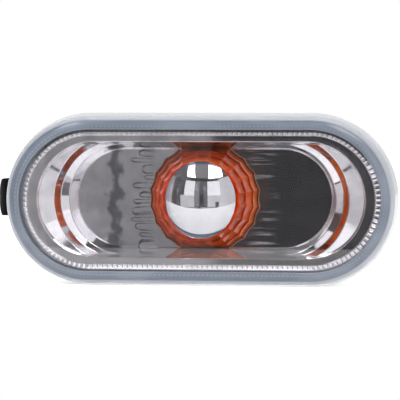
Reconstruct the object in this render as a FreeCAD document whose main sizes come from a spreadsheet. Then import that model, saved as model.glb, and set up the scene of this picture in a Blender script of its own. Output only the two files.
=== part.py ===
import FreeCAD, Part
import math
import os
import re
import Sketcher

# Vehicle side indicator lamp. X runs along the lamp, Z is up and the lens faces -Y.
# The body panel is the plane y = 0. A "level" below is a distance in front of that plane, so y = -level.

SIZES = [
    ("lens_length", 80.0, "lens, end to end"),
    ("lens_height", 35.2, "lens, top to bottom"),
    ("lens_wall", 2.0, "lens wall"),
    ("lens_rise", 10.2, "front of the lens above the panel"),
    ("dome_radius", 200.0, "curve of the lens front"),
    ("shoulder_radius", 2.6, "round between lens front and flank"),
    ("flank_draft", 8.0, "lean of the lens flank, degrees"),
    ("rim_edge", 1.9, "straight edge of the lens rim"),
    ("rim_wrap", 0.8, "lens skirt outside the housing flange"),
    ("fit_gap", 0.1, "clearance between moulded pieces that slide together"),
    ("gasket_thickness", 1.5, "foam gasket, fitted"),
    ("gasket_inset", 0.3, "gasket edge inside the flange edge and outside the tub"),
    ("flange_thickness", 1.5, "housing flange"),
    ("land_inset", 3.4, "edge of the reflector inside the lens outline"),
    ("land_rise", 2.8, "reflector land above the flange"),
    ("bead_width", 1.1, "raised bead round the land"),
    ("bead_rise", 0.4, "bead above the land"),
    ("tooth_pitch", 1.0, "teeth along the bead, centre to centre"),
    ("tooth_gap", 0.6, "groove between two teeth, at the top"),
    ("tooth_depth", 0.13, "groove into the bead"),
    ("reflector_wall", 0.9, "reflector wall"),
    ("trough_depth", 9.0, "land to trough floor"),
    ("trough_inset", 13.65, "end of the trough floor inside the lens outline"),
    ("trough_height", 20.3, "trough floor, top to bottom"),
    ("trough_draft", 10.0, "lean of the trough walls, degrees"),
    ("terrace_inset", 6.7, "end of the stepped recess inside the lens outline"),
    ("step_inset", 22.9, "axis of a stepped end inside the lens outline"),
    ("shelf_radius", 13.0, "inner edge of the sloping shelf"),
    ("shelf_drop", 1.65, "shelf edge below the land"),
    ("shelf_slope", 15.0, "shelf slope, degrees"),
    ("step_width", 1.2, "width of the steep step inside the shelf"),
    ("ledge_width", 2.2, "width of the ledge inside the step"),
    ("cut_margin", 1.0, "how far a cutting solid passes what it cuts"),
    ("step_drop", 1.44, "drop of the steep step"),
    ("ledge_slope", 22.0, "slope of the ledge inside the step, degrees"),
    ("cap_width", 22.6, "amber filter across its base"),
    ("cap_flat", 19.6, "amber filter across its two flats"),
    ("cap_rise", 7.8, "filter shoulder above the trough floor"),
    ("cap_draft", 15.0, "lean of the filter tiers, degrees"),
    ("cap_ledge", 0.4, "ledge between filter tiers"),
    ("cap_flange", 1.2, "filter flange thickness"),
    ("cap_gap", 0.3, "filter flange inside the tub walls"),
    ("cap_bore", 17.2, "filter bore at its base"),
    ("cap_bore_end", 13.2, "filter bore at its closed end"),
    ("cap_roof", 1.2, "filter closed end"),
    ("flute_count", 20, "flutes round the filter"),
    ("flute_depth", 0.25, "flute below its two ridges"),
    ("nose_width", 6.4, "filter nose inside the shield"),
    ("nose_rise", 0.9, "filter nose height"),
    ("shield_width", 14.3, "bulb shield along X"),
    ("shield_height", 15.7, "bulb shield along Z"),
    ("shield_rise", 2.6, "bulb shield above its rim"),
    ("shield_edge", 55.0, "latitude of the shield rim on its ellipsoid, degrees"),
    ("shield_wall", 0.9, "bulb shield wall"),
    ("tub_inset", 8.0, "end of the tub inside the lens outline"),
    ("tub_height", 25.0, "housing tub inside, top to bottom"),
    ("tub_wall", 1.2, "housing tub wall"),
    ("tub_floor", 1.4, "housing tub floor"),
    ("collar_width", 23.2, "bulb-holder collar outside diameter"),
    ("collar_depth", 4.0, "collar behind the tub"),
    ("lip_bore", 17.2, "collar lip bore"),
    ("lip_depth", 1.6, "collar lip thickness"),
    ("groove_bore", 20.0, "bayonet groove bore"),
    ("lug_width", 4.4, "bayonet lug across"),
    ("lug_depth", 1.2, "bayonet lug thickness"),
    ("lug_reach", 9.7, "bayonet lug radius"),
    ("lug_gap", 0.3, "bayonet notch round a lug"),
    ("hook_reach", 3.6, "fixed hook beyond the tub end"),
    ("root_depth", 3.0, "hook and clip seat sunk into the round tub end"),
    ("hook_width", 10.0, "fixed hook across"),
    ("hook_thickness", 2.0, "fixed hook"),
    ("panel_gap", 2.1, "thickest panel that the hook and clip go behind"),
    ("seat_reach", 1.6, "clip seat beyond the tub end"),
    ("clip_width", 7.6, "spring clip across"),
    ("clip_wall", 1.2, "spring clip leaf"),
    ("clip_show", 3.2, "clip beyond the end of the lens"),
    ("clip_bend", 3.5, "outer radius of the clip bend"),
    ("clip_round", 0.8, "fall of the clip bow from its middle to its sides"),
    ("clip_nose", 0.2, "free end of the clip behind the thickest panel"),
    ("clip_clear", 0.4, "clip bend behind the tub"),
    ("rail_wall", 1.4, "rails that hold the clip foot"),
    ("rail_lip", 1.1, "rail lip over the clip foot"),
    ("rail_cap", 1.0, "rail lip thickness"),
    ("seal_thickness", 1.5, "holder seal, fitted"),
    ("seal_width", 22.6, "holder seal outside diameter"),
    ("grip_lip", 1.2, "holder flange beyond the collar"),
    ("grip_thickness", 2.0, "holder flange"),
    ("spigot_width", 16.8, "holder spigot diameter"),
    ("spigot_length", 6.0, "holder spigot in front of the seal"),
    ("stem_width", 17.0, "holder stem diameter"),
    ("stem_length", 10.2, "holder stem behind the flange"),
    ("wing_span", 22.0, "finger grip across"),
    ("wing_thickness", 3.0, "finger grip thickness"),
    ("wing_depth", 7.0, "finger grip behind the flange"),
    ("plug_width", 8.0, "connector cavity along X"),
    ("plug_height", 12.0, "connector cavity along Z"),
    ("plug_depth", 8.0, "connector cavity depth"),
    ("plug_wall", 1.4, "connector shroud wall"),
    ("plug_back", 1.2, "wall between bulb slot and connector"),
    ("latch_width", 4.0, "connector latch across"),
    ("latch_rise", 1.2, "connector latch height"),
    ("contact_width", 2.8, "contact strip"),
    ("contact_thickness", 0.8, "contact strip thickness"),
    ("blade_length", 6.2, "contact blade inside the connector"),
    ("blade_tip", 0.8, "tapered tip of a blade"),
    ("contact_reach", 9.0, "contact along the bulb wedge"),
    ("bulb_width", 10.2, "bulb glass diameter"),
    ("bulb_length", 26.8, "bulb, tip to end of the wedge"),
    ("bulb_tip", 2.4, "bulb tip above the panel"),
    ("bulb_wall", 0.6, "bulb glass"),
    ("bulb_gap", 0.7, "holder recess round the bulb"),
    ("bulb_barrel", 12.0, "bulb tip to the start of the neck"),
    ("neck_width", 6.0, "bulb neck diameter"),
    ("neck_length", 2.6, "bulb neck"),
    ("wedge_width", 9.2, "bulb wedge along Z"),
    ("wedge_thickness", 2.4, "bulb wedge along X"),
    ("lead_radius", 0.25, "bulb lead wire"),
    ("lead_offset", 1.1, "bulb leads from the lamp plane"),
    ("lead_fold", 8.0, "folded end of a bulb lead along the wedge"),
    ("filament_radius", 0.2, "filament coil"),
    ("filament_drop", 4.6, "filament behind the bulb tip"),
]

# Sizes that follow from the ones above.
DERIVED = {
    "straight": "(lens_length - lens_height)",
    "trough_length": "(lens_length - 2 * trough_inset)",
    "terrace_length": "(lens_length - 2 * terrace_inset)",
    "step_centre": "(lens_length / 2 - step_inset)",
    "tub_length": "(lens_length - 2 * tub_inset)",
    "clip_bow": "(lens_length / 2 + clip_show)",
    "cap_flange_width": "(tub_height - 2 * cap_gap)",
    "grip_width": "(collar_width + 2 * grip_lip)",
    "flange_front": "(gasket_thickness + flange_thickness)",
    "flange_height": "(lens_height - 2 * rim_wrap - 2 * fit_gap)",
    "land_level": "(flange_front + land_rise)",
    "land_half": "(lens_height / 2 - land_inset)",
    "run_teeth": "floor(straight / tooth_pitch)",
    "end_teeth": "floor(pi * (land_half - bead_width / 2) / tooth_pitch)",
    "floor_level": "(land_level - trough_depth)",
    "floor_back": "(floor_level - reflector_wall)",
    "terrace_height": "(trough_height + 2 * trough_depth * tan(trough_draft))",
    "step_radius": "(shelf_radius - step_width)",
    "ledge_radius": "(step_radius - ledge_width)",
    "cap_base": "(floor_back - cap_flange)",
    "cap_shoulder": "(floor_level + cap_rise)",
    "tier_height": "((cap_shoulder - floor_back) / 3)",
    "tier_lean": "(tier_height * tan(cap_draft))",
    "tub_back": "(cap_base - tub_floor)",
    "tub_outer_height": "(tub_height + 2 * tub_wall)",
    "tub_outer_length": "(tub_length + 2 * tub_wall)",
    "collar_back": "(tub_back - collar_depth)",
    "lip_front": "(collar_back + lip_depth)",
    "seal_back": "(collar_back - seal_thickness)",
    "grip_back": "(seal_back - grip_thickness)",
    "stem_back": "(grip_back - stem_length)",
    "seat_face": "(tub_outer_length / 2 + seat_reach)",
    "clip_foot": "(seat_face + clip_wall)",
    "clip_back": "(tub_back - clip_clear)",
    "clip_leg": "(seat_face + 2 * clip_bend)",
    "bow_rise": "(clip_bow - clip_leg)",
    "clip_curve": "((clip_width / 2) ^ 2 + clip_round ^ 2) / (2 * clip_round)",
    "nose_depth": "(panel_gap + clip_nose)",
    "bow_radius": "((-clip_back - nose_depth) ^ 2 / 4 + bow_rise ^ 2) / (2 * bow_rise)",
    "bulb_end": "(bulb_tip - bulb_length)",
    "neck_level": "(bulb_tip - bulb_barrel)",
    "pinch_level": "(neck_level - neck_length)",
    "slot_back": "(bulb_end - 2 * lead_radius - fit_gap)",
    "plug_front": "(slot_back - plug_back)",
    "plug_end": "(plug_front - plug_depth)",
    "contact_face": "(wedge_thickness / 2 + 2 * lead_radius)",
    "contact_back": "(contact_face + contact_thickness)",
    "contact_front": "(bulb_end + contact_reach)",
    "contact_end": "(plug_front - blade_length)",
}

NAMES = {name for name, _, _ in SIZES}

doc = FreeCAD.newDocument("indicator_lamp")
sheet = doc.addObject("Spreadsheet::Sheet", "Sizes")
for row, (name, number, meaning) in enumerate(SIZES, start=1):
    sheet.set(f"A{row}", name)
    sheet.set(f"B{row}", str(number))
    sheet.set(f"C{row}", meaning)
    sheet.setAlias(f"B{row}", name)
doc.recompute()


def cell(text):
    """Write an expression of size names as an expression of spreadsheet cells."""
    def swap(match):
        word = match.group()
        if word in DERIVED:
            return cell(DERIVED[word])
        return f"Sizes.{word}" if word in NAMES else word
    return re.sub(r"[a-z_]+", swap, text)


def value(text):
    """Work an expression of size names out as a number."""
    result = sheet.evalExpression(cell(text))
    return float(getattr(result, "Value", result))


def bind(thing, **expressions):
    """Tie properties of an object to sizes; a double underscore stands for a dot."""
    for path, text in expressions.items():
        thing.setExpression(path.replace("__", "."), cell(text))
    return thing


def new_body(label):
    """Start a sub-part."""
    return doc.addObject("PartDesign::Body", label)


def origin_plane(body, role):
    """Find one of the three planes of a body."""
    return next(item for item in body.Origin.OriginFeatures if item.Role == role)


def sketch_on(body, name, role, shift="0"):
    """Start a sketch on a plane of its body, moved along the plane's normal."""
    sketch = body.newObject("Sketcher::SketchObject", name)
    sketch.AttachmentSupport = [(origin_plane(body, role), "")]
    sketch.MapMode = "FlatFace"
    if shift != "0":
        sketch.setExpression("AttachmentOffset.Base.z", cell(shift))
    return sketch


def hold(sketch, kind, *where, size):
    """Add a dimension tied to a size."""
    number = sketch.addConstraint(Sketcher.Constraint(kind, *where, value(size)))
    sketch.setExpression(f"Constraints[{number}]", cell(size))


def pin(sketch, edge, end, x, y):
    """Tie one point of a sketch to a pair of sizes measured from the sketch origin."""
    for kind, axis, text in (("DistanceX", -2, x), ("DistanceY", -1, y)):
        if text == "0":
            sketch.addConstraint(Sketcher.Constraint("PointOnObject", edge, end, axis))
        else:
            hold(sketch, kind, -1, 1, edge, end, size=text)


def polygon(sketch, points, rounds=None):
    """Draw a closed outline through points given as pairs of sizes.

    rounds names the edges that are arcs: edge number to (turns left, centre x, centre y).
    """
    rounds = rounds or {}
    first = sketch.GeometryCount
    count = len(points)
    spots = [FreeCAD.Vector(value(x), value(y), 0) for x, y in points]
    starts, ends = [], []
    for i in range(count):
        start, end = spots[i], spots[(i + 1) % count]
        if i not in rounds:
            sketch.addGeometry(Part.LineSegment(start, end))
            starts.append(1)
            ends.append(2)
            continue
        left, x, y = rounds[i]
        centre = FreeCAD.Vector(value(x), value(y), 0)
        ring = Part.Circle(centre, FreeCAD.Vector(0, 0, 1), (start - centre).Length)
        low, high = (start, end) if left else (end, start)
        angles = [math.atan2(spot.y - centre.y, spot.x - centre.x) for spot in (low, high)]
        sketch.addGeometry(Part.ArcOfCircle(ring, *angles))
        starts.append(1 if left else 2)
        ends.append(2 if left else 1)
    for i in range(count):
        after = (i + 1) % count
        sketch.addConstraint(
            Sketcher.Constraint("Coincident", first + i, ends[i], first + after, starts[after]))
    for i, (x, y) in enumerate(points):
        pin(sketch, first + i, starts[i], x, y)
    for i, (_, x, y) in rounds.items():
        chord = spots[(i + 1) % count] - spots[i]
        if abs(chord.y) > 1.01 * abs(chord.x):
            hold(sketch, "DistanceX", -1, 1, first + i, 3, size=x)
        elif y == "0":
            sketch.addConstraint(Sketcher.Constraint("PointOnObject", first + i, 3, -1))
        else:
            hold(sketch, "DistanceY", -1, 1, first + i, 3, size=y)


def rectangle(sketch, left, right, low, high):
    """Draw a rectangle between four sizes."""
    polygon(sketch, [(left, low), (right, low), (right, high), (left, high)])


def circle(sketch, x, y, diameter):
    """Draw a circle about a point."""
    edge = sketch.addGeometry(
        Part.Circle(FreeCAD.Vector(value(x), value(y), 0), FreeCAD.Vector(0, 0, 1), value(diameter) / 2))
    if x == "0" and y == "0":
        sketch.addConstraint(Sketcher.Constraint("Coincident", edge, 3, -1, 1))
    else:
        pin(sketch, edge, 3, x, y)
    hold(sketch, "Diameter", edge, size=diameter)


def stadium(sketch, length, height):
    """Draw a long outline with round ends about the sketch origin."""
    half, radius = value(f"({length} - {height}) / 2"), value(f"{height} / 2")
    up = FreeCAD.Vector(0, 0, 1)
    right = Part.Circle(FreeCAD.Vector(half, 0, 0), up, radius)
    left = Part.Circle(FreeCAD.Vector(-half, 0, 0), up, radius)
    first = sketch.addGeometry(Part.ArcOfCircle(right, -math.pi / 2, math.pi / 2))
    sketch.addGeometry(Part.LineSegment(FreeCAD.Vector(half, radius, 0), FreeCAD.Vector(-half, radius, 0)))
    sketch.addGeometry(Part.ArcOfCircle(left, math.pi / 2, 3 * math.pi / 2))
    sketch.addGeometry(Part.LineSegment(FreeCAD.Vector(-half, -radius, 0), FreeCAD.Vector(half, -radius, 0)))
    for i in range(4):
        sketch.addConstraint(Sketcher.Constraint("Tangent", first + i, 2, first + (i + 1) % 4, 1))
    sketch.addConstraint(Sketcher.Constraint("Horizontal", first + 1))
    sketch.addConstraint(Sketcher.Constraint("Symmetric", first, 3, first + 2, 3, -1, 1))
    sketch.addConstraint(Sketcher.Constraint("PointOnObject", first, 3, -1))
    hold(sketch, "Radius", first, size=f"({height}) / 2")
    hold(sketch, "DistanceX", first + 2, 3, first, 3, size=f"({length}) - ({height})")


def flutes(sketch, diameter):
    """Draw the outline of the amber filter: hollow flutes between sharp ridges."""
    count = int(value("flute_count"))
    ridge, half = f"(({diameter}) / 2)", f"(({diameter}) / 2 * sin({180 / count}))"
    radius = f"(({half} ^ 2 + flute_depth ^ 2) / (2 * flute_depth))"
    centre = f"({ridge} * cos({180 / count}) + {radius} - flute_depth)"
    points = [(f"{ridge} * cos({360 * (i + 0.5) / count})", f"{ridge} * sin({360 * (i + 0.5) / count})")
              for i in range(count)]
    hollows = {i: (False, f"{centre} * cos({360 * (i + 1) / count})",
                   f"{centre} * sin({360 * (i + 1) / count})")
               for i in range(count)}
    polygon(sketch, points, hollows)


def pad(body, sketch, name, length, back=False, both=False, lean=None):
    """Raise a sketch; to the front unless it is told otherwise."""
    feature = body.newObject("PartDesign::Pad", name)
    feature.Profile = sketch
    feature.Reversed = back
    feature.SideType = "Symmetric" if both else "One side"
    bind(feature, Length=length)
    if lean:
        bind(feature, TaperAngle=lean)
    body.Tip = feature
    doc.recompute()
    return feature


def pocket(body, sketch, name, length, front=False, both=False):
    """Cut a sketch away; to the back unless it is told otherwise."""
    feature = body.newObject("PartDesign::Pocket", name)
    feature.Profile = sketch
    feature.Reversed = front
    feature.SideType = "Symmetric" if both else "One side"
    bind(feature, Length=length)
    body.Tip = feature
    doc.recompute()
    return feature


def turned(body, sketch, kind, name, angle=360, reverse=False):
    """Turn a sketch about its own horizontal axis, as added or removed material."""
    feature = body.newObject(f"PartDesign::{kind}", name)
    feature.Profile = sketch
    feature.ReferenceAxis = (sketch, ["H_Axis"])
    feature.Angle = angle
    feature.Reversed = reverse
    body.Tip = feature
    doc.recompute()
    return feature


def racetrack(label, draw, length):
    """Carry a half section along a straight run and round both ends.

    The half section is drawn on the YZ plane, x towards the back and y upwards.
    """
    body = new_body(label)
    middle = sketch_on(body, f"{label}_run", "YZ_Plane")
    draw(middle)
    run = pad(body, middle, f"{label}_straight", length, both=True)
    lower = body.newObject("PartDesign::Mirrored", f"{label}_lower")
    lower.Originals = [run]
    lower.MirrorPlane = (origin_plane(body, "XY_Plane"), [""])
    body.Tip = lower
    for side, sign in (("right", ""), ("left", "-")):
        section = sketch_on(body, f"{label}_{side}", "YZ_Plane", f"{sign}({length}) / 2")
        draw(section)
        turned(body, section, "Revolution", f"{label}_{side}_end", 180, side == "left")
    return body


def combine(kind, label, *members):
    """Join, cut or intersect objects."""
    result = doc.addObject(f"Part::{kind}", label)
    if kind == "MultiFuse":
        result.Shapes = list(members)
    else:
        result.Base, result.Tool = members
    doc.recompute()
    return result


def drum(label, x, z, front, depth, radius):
    """A cylinder along Y from its front level towards the back."""
    tube = doc.addObject("Part::Cylinder", label)
    tube.Placement.Rotation = FreeCAD.Rotation(FreeCAD.Vector(1, 0, 0), -90)
    return bind(tube, Placement__Base__x=x, Placement__Base__y=f"-({front})", Placement__Base__z=z,
                Radius=radius, Height=depth)


def lens_section(sketch):
    """Half section of the lens: dome, shoulder, flank, skirt round the flange and seat on its front."""
    dome, shoulder, wall = value("dome_radius"), value("shoulder_radius"), value("lens_wall")
    lean = math.radians(value("flank_draft"))
    rim = (-value("gasket_thickness + rim_edge"), value("lens_height / 2"))
    hub = value("dome_radius - lens_rise")
    along = (-math.cos(lean), -math.sin(lean))
    inward = (math.sin(lean), -math.cos(lean))

    def round_centre(offset, radius, reach):
        """Centre of a round tangent to the flank and, from inside, to the dome."""
        start = (rim[0] + offset * inward[0] - hub, rim[1] + offset * inward[1])
        slope = start[0] * along[0] + start[1] * along[1]
        rest = start[0] ** 2 + start[1] ** 2 - reach ** 2
        step = -slope + math.sqrt(slope ** 2 - rest)
        return (start[0] + step * along[0] + hub, start[1] + step * along[1])

    centre = round_centre(shoulder, shoulder, dome - shoulder)
    up = FreeCAD.Vector(0, 0, 1)

    def spot(x, y):
        return FreeCAD.Vector(x, y, 0)

    def dome_angle():
        return math.atan2(centre[1], centre[0] - hub)

    flank_angle = math.atan2(-inward[1], -inward[0])
    out_flank = (centre[0] - shoulder * inward[0], centre[1] - shoulder * inward[1])
    in_flank = (out_flank[0] + wall * inward[0], out_flank[1] + wall * inward[1])
    seat = -value("flange_front")
    run = (seat - in_flank[0]) / along[0]
    seat_y = in_flank[1] + run * along[1]
    skirt = value("lens_height / 2 - rim_wrap")
    back = -value("gasket_thickness")

    sketch.addGeometry(Part.LineSegment(spot(hub - dome + wall, 0), spot(hub - dome, 0)))
    sketch.addGeometry(Part.ArcOfCircle(Part.Circle(spot(hub, 0), up, dome), dome_angle(), math.pi))
    sketch.addGeometry(Part.ArcOfCircle(Part.Circle(spot(*centre), up, shoulder), flank_angle, dome_angle()))
    sketch.addGeometry(Part.LineSegment(spot(*out_flank), spot(*rim)))
    sketch.addGeometry(Part.LineSegment(spot(*rim), spot(back, rim[1])))
    sketch.addGeometry(Part.LineSegment(spot(back, rim[1]), spot(back, skirt)))
    sketch.addGeometry(Part.LineSegment(spot(back, skirt), spot(seat, skirt)))
    sketch.addGeometry(Part.LineSegment(spot(seat, skirt), spot(seat, seat_y)))
    sketch.addGeometry(Part.LineSegment(spot(seat, seat_y), spot(*in_flank)))
    sketch.addGeometry(
        Part.ArcOfCircle(Part.Circle(spot(*centre), up, shoulder - wall), flank_angle, dome_angle()))
    sketch.addGeometry(Part.ArcOfCircle(Part.Circle(spot(hub, 0), up, dome - wall), dome_angle(), math.pi))

    join = Sketcher.Constraint
    for edge, end, other, start in ((0, 2, 1, 2), (3, 2, 4, 1), (4, 2, 5, 1), (5, 2, 6, 1), (6, 2, 7, 1),
                                    (7, 2, 8, 1), (10, 2, 0, 1)):
        sketch.addConstraint(join("Coincident", edge, end, other, start))
    for edge, end, other, start in ((1, 1, 2, 2), (2, 1, 3, 1), (8, 2, 9, 1), (9, 2, 10, 1)):
        sketch.addConstraint(join("Tangent", edge, end, other, start))
    sketch.addConstraint(join("PointOnObject", 0, 1, -1))
    sketch.addConstraint(join("PointOnObject", 0, 2, -1))
    sketch.addConstraint(join("PointOnObject", 1, 3, -1))
    sketch.addConstraint(join("Coincident", 10, 3, 1, 3))
    sketch.addConstraint(join("Horizontal", 4))
    sketch.addConstraint(join("Vertical", 5))
    sketch.addConstraint(join("Horizontal", 6))
    sketch.addConstraint(join("Vertical", 7))
    sketch.addConstraint(join("Parallel", 3, 8))
    hold(sketch, "DistanceX", -1, 1, 0, 2, size="-lens_rise")
    hold(sketch, "Radius", 1, size="dome_radius")
    hold(sketch, "Radius", 10, size="dome_radius - lens_wall")
    hold(sketch, "Radius", 2, size="shoulder_radius")
    hold(sketch, "Radius", 9, size="shoulder_radius - lens_wall")
    hold(sketch, "Distance", 8, 2, 3, size="lens_wall")
    hold(sketch, "DistanceX", -1, 1, 4, 1, size="-(gasket_thickness + rim_edge)")
    hold(sketch, "DistanceY", -1, 1, 4, 1, size="lens_height / 2")
    hold(sketch, "DistanceX", -1, 1, 5, 1, size="-gasket_thickness")
    hold(sketch, "DistanceY", -1, 1, 6, 1, size="lens_height / 2 - rim_wrap")
    hold(sketch, "DistanceX", -1, 1, 7, 1, size="-flange_front")
    draft = sketch.addConstraint(join("Angle", 3, lean))
    sketch.setExpression(f"Constraints[{draft}]", f"{cell('flank_draft')} * 1 deg")


def trough_section(extra):
    """Half section of the trough, grown by a wall where the outside of the reflector is wanted."""
    low = f"trough_height / 2 + {extra}"
    high = f"terrace_height / 2 + {extra}"
    back, front = f"-(floor_level - {extra})", "-land_level"

    def draw(sketch):
        polygon(sketch, [(back, "0"), (back, low), ("-floor_level", low), (front, high), (front, "0")]
                if extra != "0" else [(back, "0"), (back, low), (front, high), (front, "0")])
    return draw


def land_section(sketch):
    """Half section of the reflector land with its bead and the skirt that stands on the flange."""
    bead = "land_half - bead_width"
    inside = "land_half - reflector_wall"
    polygon(sketch, [("-(land_level - reflector_wall)", "0"), ("-land_level", "0"), ("-land_level", bead),
                     ("-(land_level + bead_rise)", bead), ("-(land_level + bead_rise)", "land_half"),
                     ("-flange_front", "land_half"), ("-flange_front", inside),
                     ("-(land_level - reflector_wall)", inside)])


def groove(body, name, x):
    """Sketch the section of one groove in the bead at a place along the lamp."""
    sketch = sketch_on(body, f"{name}_section", "XY_Plane")
    bind(sketch, AttachmentOffset__Base__x=x)
    top = "(land_level + bead_rise)"
    polygon(sketch, [("-tooth_gap", f"-({top} + tooth_depth)"), ("tooth_gap", f"-({top} + tooth_depth)"),
                     ("0", f"-({top} - tooth_depth)")])
    return sketch


def tooth_grooves(body):
    """Cut the bead into teeth along both straight runs and round both ends."""
    reach = "land_half + cut_margin"
    spacing = "straight / run_teeth"
    sketch = groove(body, "run_groove", f"-straight / 2 + {spacing}")
    cut = pocket(body, sketch, "run_groove", f"2 * ({reach})", both=True)
    row = body.newObject("PartDesign::LinearPattern", "run_grooves")
    row.Originals = [cut]
    row.Direction = (sketch, ["H_Axis"])
    bind(row, Length=f"straight - 2 * {spacing}", Occurrences="run_teeth - 1")
    body.Tip = row
    for name, side in (("right", ""), ("left", "-")):
        sketch = groove(body, f"{name}_groove", f"{side}straight / 2")
        cut = pocket(body, sketch, f"{name}_groove", reach)
        ring = body.newObject("PartDesign::PolarPattern", f"{name}_grooves")
        ring.Originals = [cut]
        ring.Axis = (sketch, ["V_Axis"])
        ring.Reversed = name == "right"
        ring.Angle = 180
        bind(ring, Occurrences="end_teeth + 1")
        body.Tip = ring
    doc.recompute()


def stepped_end(label, side, extra):
    """A dish of shelf, steep step and ledge, turned about the axis of one end."""
    body = new_body(label)
    sketch = sketch_on(body, f"{label}_section", "YZ_Plane", f"{side}step_centre")
    far = "terrace_length / 2 - step_centre + cut_margin"
    shelf = f"land_level - shelf_drop - {extra}"
    grow = f"{extra} / 2"
    polygon(sketch, [("-(land_level + cut_margin)", "0"), ("-(land_level + cut_margin)", f"{far} + {grow}"),
                     (f"-({shelf} + ({far} - shelf_radius) * tan(shelf_slope))", f"{far} + {grow}"),
                     (f"-({shelf})", f"shelf_radius + {grow}"),
                     (f"-({shelf} - step_drop)", f"step_radius + {grow}"),
                     (f"-({shelf} - step_drop - (step_radius - ledge_radius) * tan(ledge_slope))",
                      f"ledge_radius + {grow}"),
                     (f"-({shelf} - step_drop - (step_radius - ledge_radius) * tan(ledge_slope))", "0")])
    turned(body, sketch, "Revolution", f"{label}_dish")
    return body


def reflector_form(label, extra):
    """The trough and both stepped ends as one solid, grown by a wall or not."""
    trough = racetrack(f"{label}_trough", trough_section(extra), "trough_length - trough_height")
    recess = racetrack(f"{label}_recess", trough_section(extra), "terrace_length - terrace_height")
    ends = [combine("Common", f"{label}_{name}_terrace", recess, stepped_end(f"{label}_{name}", side, extra))
            for name, side in (("right", ""), ("left", "-"))]
    return combine("MultiFuse", f"{label}_form", trough, *ends)


def clip_section(sketch):
    """Section of the spring clip: foot, bend at the back, bowed leaf and free end."""
    foot, turn, hub = "panel_gap + fit_gap", "-clip_back", "-(seat_face + clip_bend)"
    polygon(sketch, [("-seat_face", foot), ("-seat_face", turn), ("-clip_leg", turn),
                     ("-clip_leg", "nose_depth"), ("-(clip_leg - clip_wall)", "nose_depth"),
                     ("-(clip_leg - clip_wall)", turn),
                     ("-clip_foot", turn), ("-clip_foot", foot)],
            {1: (True, hub, turn), 2: (True, "bow_radius - clip_bow", "(nose_depth - clip_back) / 2"),
             4: (False, "bow_radius - clip_bow + clip_wall", "(nose_depth - clip_back) / 2"),
             5: (False, hub, turn)})


def rail_section(sketch, side):
    """Section of one rail that holds the clip foot against its seat."""
    near, lip = "clip_width / 2 + fit_gap", "clip_width / 2 - rail_lip"
    inner, outer = "-(clip_foot + fit_gap)", "-(clip_foot + fit_gap + rail_cap)"
    far = f"{near} + rail_wall"
    polygon(sketch, [(x, f"{side}({y})") for x, y in
                     (("-seat_face", near), ("-seat_face", far), (outer, far), (outer, lip), (inner, lip),
                      (inner, near))])


def bulb_section(wall, bottom):
    """Half section of the bulb glass, or of the hollow inside it."""
    def draw(sketch):
        radius = f"(bulb_width / 2 - {wall})"
        polygon(sketch, [(f"-(bulb_tip - {wall})", "0"), ("-(bulb_tip - bulb_width / 2)", radius),
                         ("-neck_level", radius), (f"-({bottom})", f"neck_width / 2 - {wall}"),
                         (f"-({bottom})", "0")],
                {0: (False, "-(bulb_tip - bulb_width / 2)", "0")})
    return draw


def spread(body, feature, axis_sketch, name, count):
    """Repeat a feature evenly about the axis of the lamp's bulb."""
    pattern = body.newObject("PartDesign::PolarPattern", name)
    pattern.Originals = [feature]
    pattern.Axis = (axis_sketch, ["N_Axis"])
    pattern.Angle = 360
    pattern.Occurrences = count
    body.Tip = pattern
    doc.recompute()
    return pattern


def lead_wire(label, side):
    """One bulb lead: up through the wedge to the filament and folded forward along the wedge."""
    turn_level = "bulb_end - lead_radius"
    face = "wedge_thickness / 2 + lead_radius"
    z = f"{side}lead_offset"
    rise = drum(f"{label}_rise", "0", z, "bulb_tip - filament_drop + filament_radius",
                "bulb_tip - filament_drop + filament_radius - bulb_end + lead_radius", "lead_radius")
    fold = drum(f"{label}_fold", f"{side}({face})", z, "bulb_end + lead_fold",
                "lead_fold + lead_radius", "lead_radius")
    cross = doc.addObject("Part::Cylinder", f"{label}_cross")
    cross.Placement.Rotation = FreeCAD.Rotation(FreeCAD.Vector(0, 1, 0), 90 if side == "" else -90)
    bind(cross, Placement__Base__y=f"-({turn_level})", Placement__Base__z=z,
         Radius="lead_radius", Height=face)
    corners = []
    for name, x in (("inner", "0"), ("outer", f"{side}({face})")):
        ball = doc.addObject("Part::Sphere", f"{label}_{name}_corner")
        bind(ball, Placement__Base__x=x, Placement__Base__y=f"-({turn_level})", Placement__Base__z=z,
             Radius="lead_radius")
        corners.append(ball)
    return combine("MultiFuse", label, rise, cross, fold, *corners)


def contact_strip(label, side):
    """One contact: a strip along the bulb wedge that ends as a blade in the connector."""
    body = new_body(label)
    sketch = sketch_on(body, f"{label}_section", "XY_Plane")
    tip, slope = "-contact_end", "contact_thickness / 3"
    polygon(sketch, [(f"{side}({x})", y) for x, y in
                     (("contact_face", "-contact_front"), ("contact_back", "-contact_front"),
                      ("contact_back", f"{tip} - blade_tip"), (f"contact_back - {slope}", tip),
                      (f"contact_face + {slope}", tip), ("contact_face", f"{tip} - blade_tip"))])
    pad(body, sketch, f"{label}_strip", "contact_width", both=True)
    return body


lens = racetrack("lens", lens_section, "straight")

# Gasket between the flange and the body panel.
gasket = new_body("gasket")
outline = sketch_on(gasket, "gasket_outline", "XZ_Plane")
stadium(outline, "straight + flange_height - 2 * gasket_inset", "flange_height - 2 * gasket_inset")
stadium(outline, "tub_outer_length + 2 * gasket_inset", "tub_outer_height + 2 * gasket_inset")
pad(gasket, outline, "gasket_ring", "gasket_thickness")

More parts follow.
